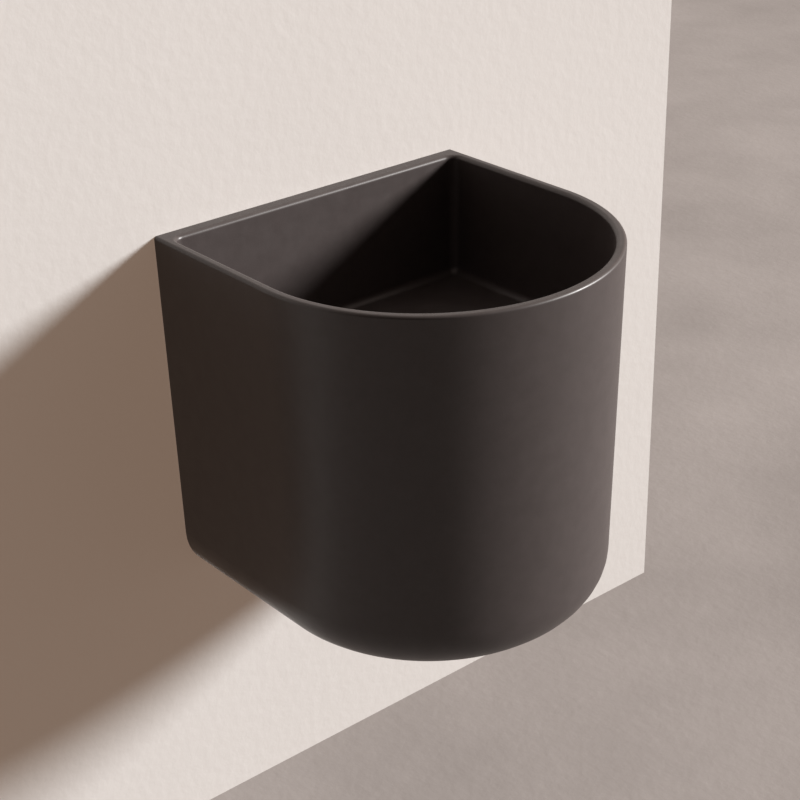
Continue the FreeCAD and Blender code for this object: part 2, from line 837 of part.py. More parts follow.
def trap_inlet():
    """The tube from the waste into the trap, held by a nut at each end of its bare stretch."""
    inner = tube_radius - size("tube_wall")
    collar = thread_radius - 0.45
    corners = [(inner, tube_end), (tube_radius, tube_end), (tube_radius, collar_face), (collar, collar_face)]
    on_waste("inlet_tube", corners + [(collar, collar_top), (inner, collar_top)])
    ring("inlet_seal", inner + 0.5, collar, collar_top, waste_end)
    mouth = waste_end + size("union_grip")
    stand_on_waste_axis(union_nut("inlet_nut", mouth, collar_face, collar_face - size("union_end")))
    ring("head_seal", seal_bore, collar, neck_top, gland_top)
    low = gland_top - size("union_grip")
    stand_on_waste_axis(union_nut("head_nut", low, gland_top, gland_top + size("union_end")))


def trap_head():
    """The trap's body: a neck for the inlet tube, a side outlet and a thread for the cup."""
    outer = size("trap_width") / 2
    skirt = size("cup_thread") / 2
    low = trap_foot - size("cup_grip")
    corners = [(0, low), (skirt, low), (skirt, trap_foot), (outer, trap_foot), (outer, trap_top - 3)]
    corners += [(outer - 3, trap_top), (thread_radius, trap_top), (thread_radius, neck_top), (0, neck_top)]
    body = turned("trap_head", corners)
    port = new_sketch(body, "port", "XZ_Plane")
    pad(body, circle(port, 0, -size("outlet_drop"), thread_radius), size("port_reach"), back=True)
    doc.recompute()
    cavity = skirt - size("trap_wall")
    inside = [(0, low - 1), (cavity, low - 1), (cavity, trap_top - 12), (tube_hole, trap_top - 4)]
    inside += [(tube_hole, neck_top + 1), (0, neck_top + 1)]
    turn(body, outline(new_sketch(body, "cavity", "XZ_Plane"), inside), groove=True)
    passage = circle(new_sketch(body, "passage", "XZ_Plane"), 0, -size("outlet_drop"), tube_radius - 2)
    pocket(body, passage, size("port_reach") + 1)
    start = size("port_socket") - size("port_reach")
    socket = circle(new_sketch(body, "socket", "XZ_Plane", start), 0, -size("outlet_drop"), tube_hole)
    pocket(body, socket, size("port_socket") + 1)
    stand_on_waste_axis(body)


def trap_cup():
    """The cup that unscrews for cleaning, with a fluted ring to grip."""
    thread = size("cup_thread") / 2 + size("running")
    wall = size("cup_wall")
    outer = size("trap_width") / 2 + 1.5
    bowl = thread - 0.6
    grip = cup_top - size("cup_grip")
    foot = cup_floor - wall
    corners = [(0, foot), (bowl + wall, foot), (bowl + wall, grip - 2), (outer, grip), (outer, cup_top)]
    corners += [(thread, cup_top), (thread, grip), (bowl, grip), (bowl, cup_floor + size("cup_round"))]
    corners += [(bowl - size("cup_round"), cup_floor), (0, cup_floor)]
    body = turned("trap_cup", corners)
    rounded(body, "foot", size("cup_round"), ring_edge(bowl + wall, foot))
    flute = new_sketch(body, "flute", "XY_Plane", cup_top + 1)
    half = size("flute_width") / 2
    cut = pocket(body, circle(flute, outer + half / 2, 0, half), size("cup_grip") + 5)
    ridges = body.newObject("PartDesign::PolarPattern", "trap_cup_flutes")
    ridges.Originals = [cut]
    ridges.Axis = (flute, ["N_Axis"])
    ridges.Angle = 360
    ridges.Occurrences = 24
    body.Tip = ridges
    doc.recompute()
    stand_on_waste_axis(body)
    ring("cup_seal", skirt_bore(), size("trap_width") / 2, cup_top, trap_foot)


def skirt_bore():
    return size("cup_thread") / 2 + 0.02


def trap_outlet():
    """The pipe into the wall, its nut and seal on the trap, and the rosette that hides the hole."""
    port_end = waste_place + size("port_reach")
    gland_end = port_end + size("gland_seal")
    inner = tube_radius - size("tube_wall")
    start = port_end - size("port_socket") + 3
    end = size("wall_depth")
    mark = size("mark_width")
    shallow = tube_radius - size("mark_depth")
    corners = [(inner, start), (tube_radius, start), (tube_radius, 0), (shallow, 0), (shallow, mark)]
    corners += [(tube_radius, mark), (tube_radius, end), (inner, end)]
    lie_on_outlet_axis(turned("outlet_pipe", corners))
    collar = thread_radius - 0.45
    seal = [(seal_bore, port_end), (collar, port_end), (collar, gland_end), (seal_bore, gland_end)]
    lie_on_outlet_axis(turned("outlet_seal", seal))
    mouth = gland_end - size("union_grip")
    lie_on_outlet_axis(union_nut("outlet_nut", mouth, gland_end, gland_end + size("union_end")))
    sheet_thick = size("rosette_sheet")
    bore = tube_radius + size("running")
    outer = size("rosette_width") / 2
    neck = bore + 3
    front = -size("rosette_depth")
    behind = front + sheet_thick
    corners = [(bore, front), (neck, front), (outer, -sheet_thick * 1.5), (outer, 0)]
    corners += [(outer - sheet_thick, 0), (neck - sheet_thick / 2, behind), (bore, behind)]
    lie_on_outlet_axis(turned("wall_rosette", corners))


basin()
hanger_bolts()
wall_plugs()
fixing_bushes()
fixing_washers()
fixing_nuts()
waste_body()
waste_seals()
back_nut()
latch_barrel()
plug_spring()
plug_spindle()
cap_carrier()
plug_cap()
cap_seal()
trap_inlet()
trap_head()
trap_cup()
trap_outlet()
doc.recompute()

failed = [item.Name for item in doc.Objects if "Invalid" in item.State or "Error" in item.State]
if failed:
    raise RuntimeError(f"failed: {failed}")
FORMS = ("bowl_hollow", "apron_hollow")
pieces = [item for item in doc.Objects if item.TypeId == "PartDesign::Body" and item.Label not in FORMS]
for piece in pieces:
    if piece.Shape.isNull() or not piece.Shape.isValid():
        raise RuntimeError(f"{piece.Label} has no valid shape")
os.makedirs("parts", exist_ok=True)
for piece in pieces:
    piece.Shape.exportStep(f"parts/{piece.Label}.step")
    box = piece.Shape.BoundBox
    print(f"{piece.Label}: {len(piece.Shape.Solids)} solids, {piece.Shape.Volume / 1000:.2f} cm3", box)
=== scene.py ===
import json
import math

import bmesh
import bpy
import numpy as np
from mathutils import Matrix, Vector
from mathutils.geometry import delaunay_2d_cdt


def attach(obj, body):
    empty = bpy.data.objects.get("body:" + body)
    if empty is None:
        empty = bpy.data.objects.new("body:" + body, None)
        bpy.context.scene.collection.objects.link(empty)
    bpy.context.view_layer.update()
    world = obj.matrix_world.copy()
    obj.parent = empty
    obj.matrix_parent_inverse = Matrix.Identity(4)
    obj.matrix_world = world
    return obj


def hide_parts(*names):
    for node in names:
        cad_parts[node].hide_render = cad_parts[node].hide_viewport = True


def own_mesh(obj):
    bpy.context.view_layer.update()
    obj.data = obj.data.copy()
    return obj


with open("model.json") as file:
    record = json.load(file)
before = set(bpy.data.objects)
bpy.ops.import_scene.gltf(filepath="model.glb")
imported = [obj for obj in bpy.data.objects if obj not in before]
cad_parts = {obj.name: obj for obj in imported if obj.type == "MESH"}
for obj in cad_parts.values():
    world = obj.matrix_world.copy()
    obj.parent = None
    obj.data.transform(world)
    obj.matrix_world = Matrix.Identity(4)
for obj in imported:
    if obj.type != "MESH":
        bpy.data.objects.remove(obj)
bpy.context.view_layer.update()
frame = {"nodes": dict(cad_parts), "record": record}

BODY_OF = {node: body for body, nodes in frame["record"]["behaviour"]["bodies"].items() for node in nodes}
SLOT_OF = {row["node"]: row["material_slot"] for row in frame["record"]["subparts"]}
MM = 0.001

# The casting's sizes in millimetres. X runs along the wall, +Y into it and +Z up; the origin lies on
# the wall's face, midway between the two fixing bolts.
RIM = 215.0
BASE = -240.0
FRONT = 208.0  # how far the middle of the half-round front stands from the wall
WASTE = -208.0  # where the upright axis of the waste and the trap lies, along Y
OUTLET = -105.0  # where the outlet's axis lies, along Z
SPRING_SEAT = 8.4  # the floor inside the latch's housing
HALF = 225.0  # half the width at the rim
HEIGHT = RIM - BASE
LEAN = math.tan(math.radians(1.2))  # of the sides and the front
WALL = 12.5  # the thickness of the sides and the front
WEB = 25.0  # the thickness behind the skirt
OPENING = 140.0  # half the opening in the underside, and the bolts' distance from the middle
FLOOR_EDGE = 57.0  # the height where the bowl's wall meets its floor
BELLY_EDGE = 43.0  # the same place on the floor's underside
RECESS = 45.0  # the height that the waste's flange is sealed to
BOSS = 31.0  # the height that the waste's nut is drawn up to
WASTE_HOLE = 23.0  # its radius
LIP = 5.0  # the round at the opening's edges
WINDOW_TOP = -45.0  # the web's lower edge
WINDOW_CORNER = 30.0
BOLT_HOLE = 9.0  # its radius
SCREW = 20.95  # the radius of the thread that the waste and the trap share
NUT_BORE = 21.0
TUBE, TUBE_BORE = 16.0, 15.0  # radii
TUBE_COLLAR = 20.5


# ---------------------------------------------------------------- surfaces


def softened(corners, radii, closed=False, step=6.0, facet=0.16):
    """A line through the corners with a round at each, as one row of numbers for each point.

    Formula: a round is the arc that touches both runs of the first two numbers; a point on it is the
    corner plus a share of each run, and the other numbers follow the same shares. A run is shared out
    in even steps, with one short step at each end; one under 3 mm isn't shared out.
    """
    corners = np.asarray(corners, float)
    count = len(corners)
    radii = np.broadcast_to(np.asarray(radii, float), count)
    before, after = np.roll(corners, 1, 0) - corners, np.roll(corners, -1, 0) - corners
    bends = []
    for index in range(count):
        if not closed and index in (0, count - 1):
            bends.append(corners[index : index + 1])
            continue
        back, ahead = before[index], after[index]
        spans = np.linalg.norm(back[:2]), np.linalg.norm(ahead[:2])
        back, ahead = back / spans[0], ahead / spans[1]
        angle = math.acos(float(np.clip(back[:2] @ ahead[:2], -1, 1)))
        if math.pi - angle < 1e-3 or radii[index] <= 0:
            bends.append(corners[index : index + 1])
            continue
        reach = min(radii[index] / math.tan(angle / 2), 0.499 * spans[0], 0.499 * spans[1])
        if radii[index] > 3:
            reach = radii[index] / math.tan(angle / 2)
        radius = reach * math.tan(angle / 2)
        turn = np.linspace(0, math.pi - angle, max(3, math.ceil((math.pi - angle) / facet) + 1))
        share = reach - radius * (math.cos(angle) - np.cos(angle + turn)) / math.sin(angle)
        onward = radius * (1 - np.cos(turn)) / math.sin(angle)
        bends.append(corners[index] + share[:, None] * back + onward[:, None] * ahead)
    rows = []
    for index in range(count if closed else count - 1):
        start, end = bends[index][-1], bends[(index + 1) % count][0]
        length = np.linalg.norm((end - start)[:2])
        rows.append(bends[index])
        if length > min(3, step):
            inner = np.linspace(0.4, length - 0.4, max(2, round(length / step) + 1)) / length
            rows.append(start + (end - start) * inner[:, None])
    if not closed:
        rows.append(bends[-1])
    return np.concatenate(rows)


def quads(rows, columns, ring_rows=False):
    """The faces of a grid whose columns close into a ring, and its rows too where that is asked."""
    index = np.arange(rows * columns).reshape(rows, columns)
    if ring_rows:
        index = np.concatenate([index, index[:1]])
    after = np.roll(index, -1, 1)
    return np.stack([index[:-1], after[:-1], after[1:], index[1:]], -1)


def finish_mesh(name, points, faces, material, sharp=38.0, edge=None):
    """Points in millimetres and faces become one smooth mesh without doubles or gaps."""
    mesh = bpy.data.meshes.new(name)
    mesh.from_pydata((np.asarray(points) * MM).tolist(), [], faces)
    if edge is not None:
        mesh.attributes.new("thin_glaze", "FLOAT", "POINT").data.foreach_set("value", edge)
    work = bmesh.new()
    work.from_mesh(mesh)
    bmesh.ops.remove_doubles(work, verts=work.verts, dist=3e-6)
    bmesh.ops.dissolve_degenerate(work, edges=work.edges, dist=1e-6)
    work.to_mesh(mesh)
    work.free()
    mesh.shade_smooth()
    mesh.set_sharp_from_angle(angle=math.radians(sharp))
    mesh.materials.append(material)
    piece = bpy.data.objects.new(name, mesh)
    bpy.context.scene.collection.objects.link(piece)
    return piece


def stand_for(piece, node):
    """The piece rides with the node's body and is shown in its place."""
    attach(piece, BODY_OF[node])
    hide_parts(node)
    return piece


# ---------------------------------------------------------------- the casting

SHARES = (26, 14, 44, 14, 26, 120)  # points along the side, bend, back, bend, side and front
REAR = slice(SHARES[0] + SHARES[1], SHARES[0] + SHARES[1] + SHARES[2])


def dee(half, back, corner):
    """Closed D-shaped loops seen from above, one for each entry of the three arrays.

    Formula: a straight side, a quarter circle, the straight back, a quarter circle, the other side and
    a half circle in front, each in even steps. A corner as large as the half width makes a circle.
    """
    half, back, corner = (np.asarray(value, float)[:, None] for value in (half, back, corner))
    side, bend, rear, bend_on, side_on, front = (np.linspace(0, 1, n, endpoint=False) for n in SHARES)
    top = -back - corner
    flat = half - corner
    arch = math.pi * (1 + front)
    x = [half + 0 * side, flat + corner * np.cos(bend * math.pi / 2), flat * (1 - 2 * rear)]
    x += [-flat - corner * np.sin(bend_on * math.pi / 2), -half + 0 * side_on, half * np.cos(arch)]
    y = [-FRONT + (top + FRONT) * side, top + corner * np.sin(bend * math.pi / 2), -back + 0 * rear]
    y += [top + corner * np.cos(bend_on * math.pi / 2), top - (FRONT + top) * side_on]
    y += [-FRONT + half * np.sin(arch)]
    return np.concatenate(x, 1), np.concatenate(y, 1)


def plate(outline, holes, depth, facing):
    """A flat face parallel to the wall: an outline of (x, z) points, less its holes."""
    points, edges = [], []
    for ring in [outline] + holes:
        first = len(points)
        points += [Vector(point) for point in ring]
        edges += [(first + k, first + (k + 1) % len(ring)) for k in range(len(ring))]
    flat, _, faces, _, _, _ = delaunay_2d_cdt(points, edges, [], 2, 1e-5)
    flat = np.array(flat)
    middle = flat[np.array(faces)].mean(1)
    for ring in holes:
        around = np.mean(ring, 0)
        reach = np.hypot(*(np.array(ring[0]) - around))
        keep = np.hypot(*(middle - around).T) > reach
        faces, middle = [face for face, kept in zip(faces, keep) if kept], middle[keep]
    order = slice(None, None, -facing)
    return [(x, depth, z) for x, z in flat], [list(face)[order] for face in faces]


def strip(first, second):
    """The ruled band between two lines of points of one length."""
    count = len(first)
    faces = [(k, k + 1, count + k + 1, count + k) for k in range(count - 1)]
    return list(first) + list(second), faces


def casting():
    """The basin in one skin: lip, base, outer wall, rim, bowl, waste hole, belly, inner wall.

    Formula: a closed profile of (half width, height, back, corner) rows is rounded at its corners, and
    each row becomes the D-shaped loop of those sizes. The straight backs against the wall and behind
    the skirt are left out and closed with two flat plates, which hold the window and the bolt holes.
    """
    hollow = HALF - WALL
    ledge = BASE + WALL
    bowl_foot, belly_top, skirt_foot = (
        hollow - (RIM - height) * LEAN for height in (FLOOR_EDGE, BELLY_EDGE, ledge)
    )
    rear, bend = 18, 14  # the back rim's thickness and the bowl's corner, at the rim
    fall = (RIM - FLOOR_EDGE) * LEAN
    dish, recess, boss = 176, 33.5, 42  # radii of rounds about the waste's axis

    def about_waste(radius, height, rounding):
        return radius, height, -WASTE - radius, radius, rounding

    profile = [
        (151, ledge, WEB, 5, 0),
        (OPENING, ledge, WEB, 0, LIP),
        (OPENING, ledge - LIP, WEB, 0, 0),
        (OPENING, BASE + LIP, 0, 0, 0),
        (OPENING, BASE, 0, 0, LIP),
        (150, BASE, 0, 0, 0),
        (HALF - HEIGHT * LEAN, BASE, 0, 0, 65),
        (HALF, RIM, 0, 0, 3.8),
        (221, RIM, 0, 0, 0),
        (217.7, RIM, 12.8, 19.2, 0),
        (hollow, RIM, rear, bend, 5),
        (bowl_foot, FLOOR_EDGE, rear + fall, bend - fall, 9.5),
        (bowl_foot - 10, FLOOR_EDGE, rear + 10 + fall, bend - 10 - fall, 0),
        about_waste(dish, FLOOR_EDGE, 40),
        about_waste(recess, RECESS + 4, 1),
        about_waste(recess, RECESS, 0.8),
        about_waste(WASTE_HOLE, RECESS, 0.8),
        about_waste(WASTE_HOLE, BOSS, 1),
        about_waste(boss, BOSS, 1.2),
        about_waste(boss, BOSS + 4, 1.5),
        about_waste(dish, BELLY_EDGE, 20),
        (belly_top - 10, BELLY_EDGE, WEB + 10, bend - 10, 0),
        (belly_top, BELLY_EDGE, WEB, bend, 9.5),
        (skirt_foot, ledge, WEB, bend, 52.5),
    ]
    profile = np.array(profile)
    rows = softened(profile[:, :4], profile[:, 4], closed=True)
    half, height, back, corner = rows.T
    x, y = dee(half, back, corner)
    points = np.stack([x, y, np.broadcast_to(height[:, None], x.shape)], -1)
    count, columns = x.shape
    faces = quads(count, columns, ring_rows=True)
    outer, inner = np.abs(back) < 1e-6, np.abs(back - WEB) < 1e-6
    low = height < ledge + 0.5
    open_back = outer | inner | low
    flat_back = open_back & np.roll(open_back, -1)
    keep = np.ones((count, columns), bool)
    keep[flat_back, REAR] = False
    verts, polys = points.reshape(-1, 3).tolist(), faces[keep].tolist()

    def add(more, more_faces):
        first = len(verts)
        verts.extend(map(tuple, more))
        polys.extend([[first + k for k in face] for face in more_faces])

    angle = np.linspace(0, math.pi / 2, 9)[1:-1]
    side, spring_line = OPENING - WINDOW_CORNER, WINDOW_TOP - WINDOW_CORNER
    arc = [side + WINDOW_CORNER * np.cos(angle), spring_line + WINDOW_CORNER * np.sin(angle)]
    across = [(OPENING, spring_line), *map(tuple, np.stack(arc, 1)), (side, WINDOW_TOP)]
    across += [(-u, v) for u, v in across[::-1]]
    turn = np.linspace(0, 2 * math.pi, 40, endpoint=False)
    bolt_holes = [
        np.stack([place + BOLT_HOLE * np.cos(turn), BOLT_HOLE * np.sin(turn)], 1).tolist()
        for place in (-OPENING, OPENING)
    ]
    windows = []
    for chosen, depth, facing, foot in ((outer, 0.0, 1, BASE + LIP), (inner, -WEB, -1, ledge - LIP)):
        index = np.flatnonzero(chosen)
        if chosen is inner:
            index = np.roll(index, -int(np.flatnonzero(np.diff(index) > 1)[0]) - 1)[::-1]
        right = points[index, REAR.start][:, [0, 2]]
        left = points[index, REAR.stop][:, [0, 2]]
        top = points[index[-1], REAR][1:, [0, 2]]
        window = [(OPENING, foot), *across, (-OPENING, foot)]
        outline = np.concatenate([right, top, left[::-1], np.array(window[1:-1])[::-1]])
        add(*plate(outline.tolist(), bolt_holes, depth, facing))
        windows.append([(u, depth, v) for u, v in window])
    add(*strip(windows[1], windows[0]))
    for ring in bolt_holes:
        ring = ring + ring[:1]
        add(*strip([(u, -WEB, v) for u, v in ring], [(u, 0.0, v) for u, v in ring]))
    run = np.hypot(np.gradient(half), np.gradient(height))
    rise = np.abs(np.gradient(height)) / np.maximum(run, 1e-9)
    at_edge = (height > RIM - 7) | low
    thin = np.where(at_edge, 4 * rise * (1 - rise), 0.0)
    edge = np.zeros(len(verts))
    edge[: count * columns] = np.repeat(thin, columns)
    return verts, polys, edge


# ---------------------------------------------------------------- turned pieces


def along_z(radius, angle, height):
    """The waste's axis: a point's radius, angle and height become its place."""
    return radius * np.cos(angle), WASTE + radius * np.sin(angle), height


def along_y(radius, angle, height):
    """The outlet's axis, which runs into the wall; its heights are the frame's Y."""
    return radius * np.cos(angle), height, OUTLET - radius * np.sin(angle)


def at_bolt(side):
    """The axis of the bolt on one side of the basin, which runs into the wall."""

    def place(radius, angle, height):
        return side * OPENING + radius * np.cos(angle), height, -radius * np.sin(angle)

    return place


def turned_grid(corners, rounds, place, shape=None, columns=96, step=6.0):
    """Points and faces of a section that is turned about an axis.

    Formula: the section's corners are rounded, every point of it goes once round the axis, and `shape`
    may then change the radius by the angle and the height. A section that doesn't start on the axis
    closes into a ring.
    """
    corners = np.array(corners, float)
    area = np.sum(corners[:, 0] * np.roll(corners[:, 1], -1) - np.roll(corners[:, 0], -1) * corners[:, 1])
    rounds = np.broadcast_to(np.asarray(rounds, float), len(corners))
    if area < 0:
        corners, rounds = corners[::-1], rounds[::-1]
    ring = corners[0, 0] > 1e-6
    rows = softened(corners, rounds, closed=ring, step=step, facet=0.3)
    radius, height = rows[:, :1], rows[:, 1:2]
    angle = np.linspace(0, 2 * math.pi, columns, endpoint=False)[None, :]
    radius = radius + 0 * angle
    if shape is not None:
        radius = shape(radius, angle, height)
    x, y, z = np.broadcast_arrays(*place(radius, angle, height))
    points = np.stack([x, y, z], -1).reshape(-1, 3)
    return points, quads(len(rows), columns, ring_rows=ring).reshape(-1, 4)


def hexagon(across):
    """Six flats: no point lies further out than the flat in front of it, whatever the section says."""

    def shape(radius, angle, height):
        turn = (angle + math.pi / 6) % (math.pi / 3) - math.pi / 6
        return np.minimum(radius, across / 2 / np.cos(turn))

    return shape


def thread(major, low, high, pitch, depth, sharp=1.0):
    """A helical groove: the radius dips with the height less the angle's share of the pitch.

    It works on the surface that lies at the major radius, and fades out over one turn at each end.
    """

    def shape(radius, angle, height):
        wave = 0.5 - 0.5 * np.cos(2 * math.pi * (height / pitch - angle / (2 * math.pi)))
        fade = np.clip((height - low) / pitch, 0, 1) * np.clip((high - height) / pitch, 0, 1)
        return radius - np.where(np.abs(radius - major) < 0.02, depth * fade * wave**sharp, 0)

    return shape


def flutes(count, outer, depth, low):
    """Grips round a ring: a hollow at each of the count's angles, on its outer face above a height."""

    def shape(radius, angle, height):
        dip = np.clip(np.cos(count * angle) * 1.6 - 0.6, 0, 1)
        near = np.clip((radius - outer + 2.5) / 2.2, 0, 1) * (height > low)
        return radius - depth * near * dip

    return shape


def turned(node, place, corners, rounds=0.35, shape=None, columns=96, step=6.0, more=()):
    """One or more turned grids, joined, that stand for a node."""
    places = place if isinstance(place, (list, tuple)) else [place]
    grids = [turned_grid(corners, rounds, one, shape, columns, step) for one in places]
    grids += list(more)
    points, faces, first = [], [], 0
    for grid, grid_faces in grids:
        points.append(grid)
        faces += (grid_faces + first).tolist()
        first += len(grid)
    piece = finish_mesh(node + "_turned", np.concatenate(points), faces, FINISH[SLOT_OF[node]])
    return stand_for(piece, node)


def arm(angle, start, end, thick, low, high):
    """A flat arm out from the waste's axis: a rounded upright section carried along a straight run.

    Its first and last rows are drawn in to one point, so that both ends are closed.
    """
    half = thick / 2
    loop = softened([(-half, low), (half, low), (half, high), (-half, high)], 0.8, closed=True, facet=0.4)
    out = np.array([start, start, end, end])[:, None]
    width = np.array([0, 1, 1, 0])[:, None]
    middle = (low + high) / 2
    across = loop[None, :, 0] * width
    height = (loop[None, :, 1] - middle) * width + middle
    x = out * math.cos(angle) - across * math.sin(angle)
    y = WASTE + out * math.sin(angle) + across * math.cos(angle)
    points = np.stack(np.broadcast_arrays(x, y, height), -1).reshape(-1, 3)
    return points, quads(4, loop.shape[0]).reshape(-1, 4)


def union_nut(node, place, mouth, shoulder, end):
    """A hexagon nut with turned-down ends, open at its mouth and narrow at its other end."""
    sign = 1 if end > mouth else -1
    face, point, chamfer, eye = 25.9, 28.29, 1.2 * sign, TUBE + 0.25
    corners = [(NUT_BORE, mouth), (face, mouth), (point, mouth + chamfer), (point, end - chamfer)]
    corners += [(face, end), (eye, end), (eye, shoulder), (NUT_BORE, shoulder)]
    return turned(node, place, corners, 0.5, hexagon(across=49.0), 144)


def ring(node, place, bore, outer, low, high, rounds=0.4):
    """A flat ring between two heights on its axis."""
    return turned(node, place, [(bore, low), (outer, low), (outer, high), (bore, high)], rounds)


def fixings():
    """Two of each: a bolt with two threads, its plug, and the bush, washer and nut in front of the wall."""
    both = [at_bolt(-1), at_bolt(1)]
    machine = thread(5.0, -43.0, -2.0, 1.5, 0.85)
    wood = thread(5.0, 8.0, 62.0, 4.5, 1.5, 3.0)

    def two_threads(radius, angle, height):
        return wood(machine(radius, angle, height), angle, height)

    bolt = [(0, -44.4), (4, -44.4), (5, -43.4), (5, 60), (1.25, 70), (0, 70)]
    turned("hanger_bolts", both, bolt, 0.2, two_threads, 48, step=0.3)

    def ribs(radius, angle, height):
        rising = ((height - 12) / 6) % 1
        bite = np.where((radius > 6.9) & (height > 12) & (height < 66), 0.7 * rising, 0)
        slit = (np.abs(np.sin(angle)) < 0.11) & (height > 18.7) & (height < 65) & (radius > 6)
        return np.where(slit, 5.6, radius - bite)

    shell = [(0, 71), (5.05, 71), (5.05, 0), (7, 0), (7, 68), (5.5, 75), (0, 75)]
    turned("wall_plugs", both, shell, 0.3, ribs, 96, step=0.5)
    bush = [(5.3, -28), (13, -28), (13, -25), (8.8, -25), (8.8, -3), (5.3, -3)]
    turned("fixing_bushes", both, bush, 0.6)
    ring("fixing_washers", both, 5.3, 12, -30, -28, 0.3)
    nut = [(5.05, -38.4), (8.62, -38.4), (9.82, -37.8), (9.82, -30.6), (8.62, -30), (5.05, -30)]
    turned("fixing_nuts", both, nut, 0.3, hexagon(across=17.0), 96)


def waste():
    """The press waste: threaded body with its hub, seals, nut, latch, spindle, carrier and cap."""
    body = [(19, -28), (SCREW, -28), (SCREW, 47), (32, 47), (32, 48.6), (29, 50), (24.5, 50), (19, 46)]
    hub = turned_grid([(6.05, 15), (9, 15), (9, 25), (6.05, 25)], 0.6, along_z, columns=64)
    arms = [arm(k * math.pi / 2, 8.6, 19.4, 3.0, 15, 25) for k in range(4)]
    screw = thread(SCREW, -27.5, 44.0, 2.309, 0.95)
    rounds = [0.3, 0.5, 0.4, 0.5, 1.2, 1.5, 3, 1.5]
    turned("waste_body", along_z, body, rounds, screw, 120, 0.45, [hub, *arms])
    ring("flange_seal", along_z, 21.1, 31, 45, 47, 0.6)
    seal = [(21.1, 24), (28, 24), (31, 28), (31, 31), (22.8, 31), (22.0, 35), (21.1, 35)]
    turned("under_seal", along_z, seal, 0.6)
    ring("slip_washer", along_z, 21.1, 31, 22, 24, 0.5)
    nut = [(NUT_BORE, 10), (27.18, 10), (31.18, 12), (31.18, 20), (27.18, 22), (NUT_BORE, 22)]
    turned("back_nut", along_z, nut, 0.5, hexagon(across=54.0), 144)
    barrel = [(0, 7), (6, 7), (6, 25), (8, 25), (8, 29)]
    barrel += [(3.05, 29), (3.05, 26), (4.6, 26), (4.6, SPRING_SEAT), (0, SPRING_SEAT)]
    turned("latch_barrel", along_z, barrel, 0.3, columns=64)
    spindle = [(0, 20.2), (1.8, 20.2), (1.8, 24.2), (4.4, 24.2), (4.4, 26), (3, 26), (3, 63.3), (0, 63.3)]
    turned("plug_spindle", along_z, spindle, 0.25, columns=48)
    carrier = [(0, 63.3), (3.02, 63.3), (3.02, 53.8), (7, 53.8)]
    carrier += [(7, 61.8), (31, 61.8), (31, 64.3), (0, 64.3)]
    turned("cap_carrier", along_z, carrier, 0.4)
    ring("cap_seal", along_z, 24, 30.9, 59.3, 61.8, 0.9)
    cap = [(0, 64.3), (31.2, 64.3), (31.2, 60.5), (34, 60.5), (34, 70.73), (0, 73)]
    turned("plug_cap", along_z, cap, [0, 0.4, 0.6, 0.8, 4.28, 0], columns=144, step=2.0)


def lifting_spring():
    """The spring under the plug, a wire of 0.9 mm with closed end turns.

    Formula: a circle's centre goes six times round the waste's axis and rises slowly in the first and
    last turn; both ends are drawn in to one point.
    """
    coil_radius, wire_radius = 3.85, 0.45
    free, pressed = 15.8, 6.8  # the height between the housing's floor and the spindle's collar
    turns = np.linspace(0, 6, 193)
    turns = np.concatenate([turns[:1], turns, turns[-1:]])[:, None]
    wire = np.full(turns.shape, wire_radius)
    wire[[0, -1]] = 0
    low, high = SPRING_SEAT + wire_radius, SPRING_SEAT + free - wire_radius
    rise = np.interp(turns, [0, 1, 5, 6], [low, low + 0.95, high - 0.95, high])
    round_wire = np.linspace(0, 2 * math.pi, 14, endpoint=False)[None, :]
    angle = turns * 2 * math.pi + 0 * round_wire
    grid = along_z(coil_radius + wire * np.cos(round_wire), angle, rise - wire * np.sin(round_wire))
    points = np.stack(np.broadcast_arrays(*grid), -1).reshape(-1, 3)
    faces = quads(*angle.shape).reshape(-1, 4).tolist()
    piece = finish_mesh("plug_spring_turned", points, faces, FINISH[SLOT_OF["plug_spring"]])
    stand_for(piece, "plug_spring")
    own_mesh(piece)


